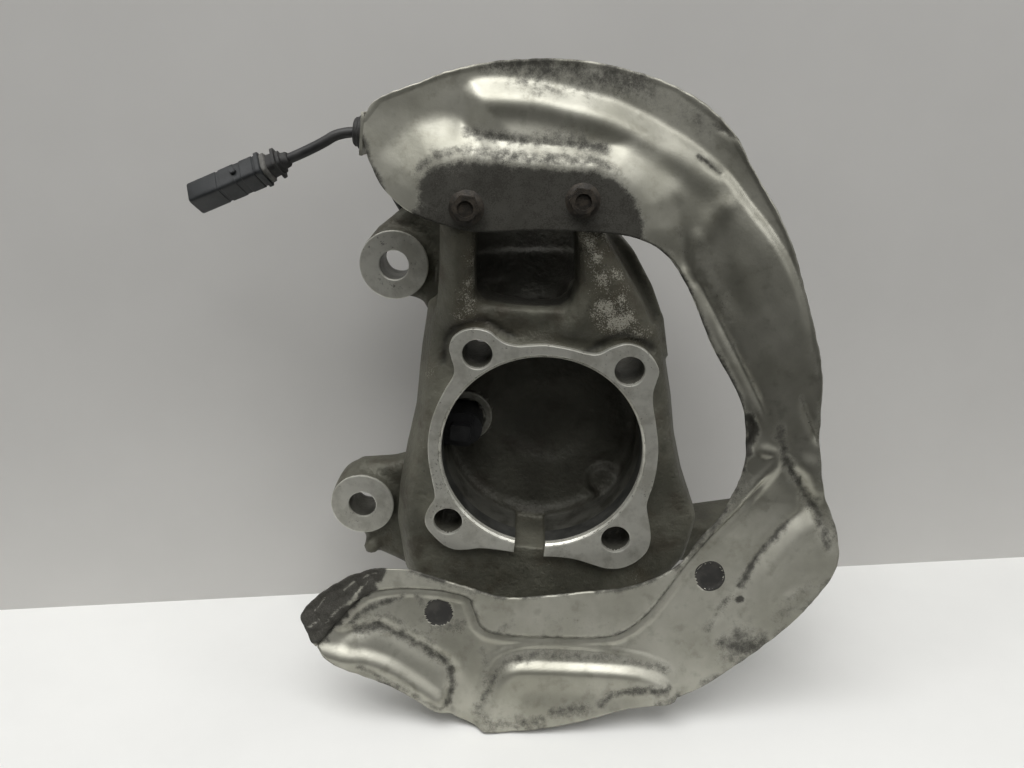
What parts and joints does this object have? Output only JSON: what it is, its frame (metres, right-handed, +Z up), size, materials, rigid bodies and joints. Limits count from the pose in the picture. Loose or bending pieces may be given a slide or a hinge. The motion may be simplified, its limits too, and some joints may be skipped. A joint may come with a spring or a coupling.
{
  "type": "steering knuckle with brake dust shield and wheel-speed sensor",
  "caption": "Cast aluminium front steering knuckle without its wheel bearing, carrying a C-shaped pressed dust shield and a wheel-speed sensor with its lead and connector.",
  "frame": {"origin": "centre of the bearing seat on the outboard mounting face", "axes": "-Y outboard, out of the bearing seat; +Z up along the symmetry line of the four hub bolt holes; +X to the right as seen from outboard"},
  "size_m": [0.3076, 0.1197, 0.3043],
  "materials": {
    "cast_aluminium": "dull corroded casting",
    "pressed_aluminium": "satin pressed sheet",
    "bolt_steel": "rusty plated steel",
    "black_rubber": "matt",
    "black_plastic": "matt",
    "grey_rubber": "matt",
    "pin_metal": "plated"
  },
  "bodies": {
    "root": {"knuckle": "cast_aluminium", "dust_shield": "pressed_aluminium", "shield_bolt_left": "bolt_steel", "shield_bolt_right": "bolt_steel", "shield_plug_left": "black_rubber", "shield_plug_right": "black_rubber", "speed_sensor": "black_plastic", "sensor_seal": "black_rubber", "sensor_bolt": "bolt_steel", "sensor_lead": "black_rubber", "lead_grommet": "black_rubber", "connector_shell": "black_plastic", "connector_seal": "grey_rubber", "connector_boot": "black_rubber", "connector_pin_1": "pin_metal", "connector_pin_2": "pin_metal"}
  },
  "joints": []
}
